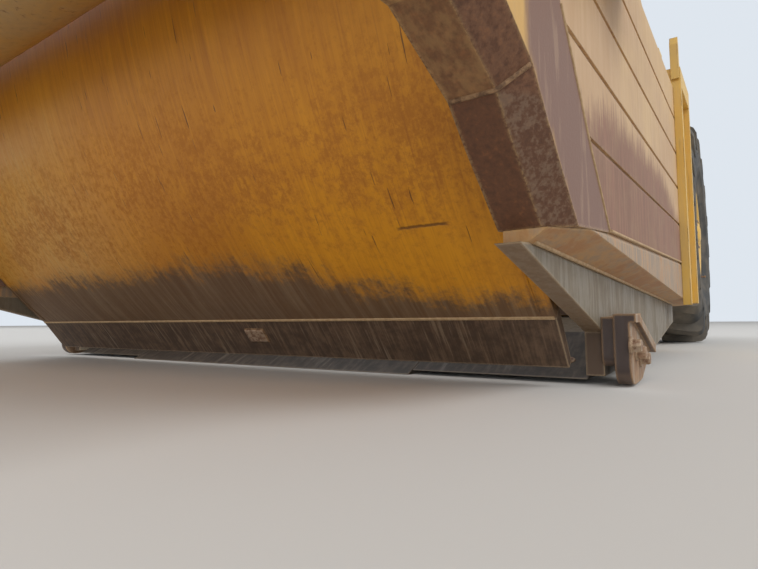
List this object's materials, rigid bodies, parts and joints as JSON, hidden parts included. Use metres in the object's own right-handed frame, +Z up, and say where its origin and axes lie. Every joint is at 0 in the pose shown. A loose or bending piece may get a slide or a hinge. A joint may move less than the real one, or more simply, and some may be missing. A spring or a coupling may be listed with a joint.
{
  "type": "scraper bowl section",
  "caption": "trailing half of a wheel tractor scraper: bowl with apron, ejector and cutting edge, rear wheels, draft frame with gooseneck hitch and lift cylinders",
  "frame": {"origin": "on the ground, under the middle of the whole section's box", "axes": "+X points forward to the hitch, +Y to the machine's left, +Z up"},
  "size_m": [9.0456, 3.46, 2.2971],
  "materials": {
    "apron_yellow": "worn orange-yellow paint with soil scratches",
    "lip_steel": "brown scoured lip with upright streaks",
    "wall_paint": "dusty tan paint with rust runs",
    "rusty_plate": "dark brown rust with flaking paint",
    "bare_steel": "bare plate polished by soil",
    "edge_steel": "worn rusty steel",
    "machine_yellow": "dusty machine yellow paint",
    "rod_chrome": "polished cylinder rod",
    "tyre_rubber": "dusty rubber",
    "rim_yellow": "yellow paint with dust"
  },
  "bodies": {
    "bowl": {"bowl_floor": "bare_steel", "rear_sill": "machine_yellow", "axle": "machine_yellow", "push_frame": "machine_yellow", "push_block": "edge_steel", "ejector_barrel": "machine_yellow", "cutting_edge_centre": "edge_steel", "side_plate_left": "bare_steel", "side_plate_right": "bare_steel", "bowl_wall_left": "wall_paint", "bowl_wall_right": "wall_paint", "front_member_left": "rusty_plate", "front_member_right": "rusty_plate", "router_bit_left": "edge_steel", "router_bit_right": "edge_steel", "rear_post_left": "machine_yellow", "rear_post_right": "machine_yellow", "rear_beam_left": "machine_yellow", "rear_beam_right": "machine_yellow", "cutting_edge_left": "edge_steel", "cutting_edge_right": "edge_steel"},
    "apron": {"apron_shell": "apron_yellow", "apron_lip": "lip_steel", "apron_arm_left": "apron_yellow", "apron_arm_right": "apron_yellow"},
    "ejector": {"ejector_rod": "rod_chrome", "ejector_blade": "bare_steel", "ejector_tail": "machine_yellow"},
    "draft_frame": {"draft_tube": "machine_yellow", "draft_arm_left": "machine_yellow", "draft_arm_right": "machine_yellow", "gooseneck": "machine_yellow", "hitch_head": "machine_yellow"},
    "lift_barrel_left": {"lift_barrel_left": "machine_yellow"},
    "lift_barrel_right": {"lift_barrel_right": "machine_yellow"},
    "lift_rod_left": {"lift_rod_left": "rod_chrome"},
    "lift_rod_right": {"lift_rod_right": "rod_chrome"},
    "apron_barrel_left": {"apron_barrel_left": "machine_yellow"},
    "apron_barrel_right": {"apron_barrel_right": "machine_yellow"},
    "apron_rod_left": {"apron_rod_left": "rod_chrome"},
    "apron_rod_right": {"apron_rod_right": "rod_chrome"},
    "wheel_left": {"tyre_left": "tyre_rubber", "rim_left": "rim_yellow"},
    "wheel_right": {"tyre_right": "tyre_rubber", "rim_right": "rim_yellow"}
  },
  "joints": [
    {"name": "wheel_left_spin", "type": "hinge", "parent": "bowl", "child": "wheel_left", "pos_m": [-3.26393, 1.161, 0.875], "axis": [0, 1, 0], "continuous": true},
    {"name": "wheel_right_spin", "type": "hinge", "parent": "bowl", "child": "wheel_right", "pos_m": [-3.26393, -1.161, 0.875], "axis": [0, 1, 0], "continuous": true},
    {"name": "apron_lift", "type": "hinge", "parent": "bowl", "child": "apron", "pos_m": [-0.63983, 0, 1.4072], "axis": [0, -1, 0], "range_deg": [0, 50]},
    {"name": "ejector_slide", "type": "slide", "parent": "bowl", "child": "ejector", "axis": [0.9992, 0, -0.0412], "range_m": [0, 1.4]},
    {"name": "bowl_lift", "type": "hinge", "parent": "bowl", "child": "draft_frame", "pos_m": [0.33275, 0, 1.20709], "axis": [0, 1, 0], "range_deg": [-8, 14]},
    {"name": "lift_barrel_left_turn", "type": "hinge", "parent": "draft_frame", "child": "lift_barrel_left", "pos_m": [1.56979, 1.4575, 1.74057], "axis": [0, 1, 0], "range_deg": [-6.34, 3.62]},
    {"name": "lift_rod_left_slide", "type": "slide", "parent": "lift_barrel_left", "child": "lift_rod_left", "axis": [-0.0412, 0, -0.9992], "range_m": [-0.29977, 0.1713]},
    {"name": "lift_barrel_right_turn", "type": "hinge", "parent": "draft_frame", "child": "lift_barrel_right", "pos_m": [1.56979, -1.4575, 1.74057], "axis": [0, 1, 0], "range_deg": [-6.34, 3.62]},
    {"name": "lift_rod_right_slide", "type": "slide", "parent": "lift_barrel_right", "child": "lift_rod_right", "axis": [-0.0412, 0, -0.9992], "range_m": [-0.29977, 0.1713]},
    {"name": "apron_barrel_left_turn", "type": "hinge", "parent": "bowl", "child": "apron_barrel_left", "pos_m": [-1.48245, 1.308, 1.60222], "axis": [0, -1, 0], "range_deg": [0, 4.26]},
    {"name": "apron_rod_left_slide", "type": "slide", "parent": "apron_barrel_left", "child": "apron_rod_left", "axis": [0.9979, 0, 0.0641], "range_m": [-0.24604, 0]},
    {"name": "apron_barrel_right_turn", "type": "hinge", "parent": "bowl", "child": "apron_barrel_right", "pos_m": [-1.48245, -1.308, 1.60222], "axis": [0, -1, 0], "range_deg": [0, 4.26]},
    {"name": "apron_rod_right_slide", "type": "slide", "parent": "apron_barrel_right", "child": "apron_rod_right", "axis": [0.9979, 0, 0.0641], "range_m": [-0.24604, 0]}
  ],
  "couplings": [
    {"joint": "lift_barrel_left_turn", "follows": "bowl_lift", "ratio": -0.45312},
    {"joint": "lift_rod_left_slide", "follows": "bowl_lift", "m_per_rad": -1.2268},
    {"joint": "lift_barrel_right_turn", "follows": "bowl_lift", "ratio": -0.45312},
    {"joint": "lift_rod_right_slide", "follows": "bowl_lift", "m_per_rad": -1.2268},
    {"joint": "apron_barrel_left_turn", "follows": "apron_lift", "ratio": 0.08512},
    {"joint": "apron_rod_left_slide", "follows": "apron_lift", "m_per_rad": -0.28194},
    {"joint": "apron_barrel_right_turn", "follows": "apron_lift", "ratio": 0.08512},
    {"joint": "apron_rod_right_slide", "follows": "apron_lift", "m_per_rad": -0.28194}
  ]
}
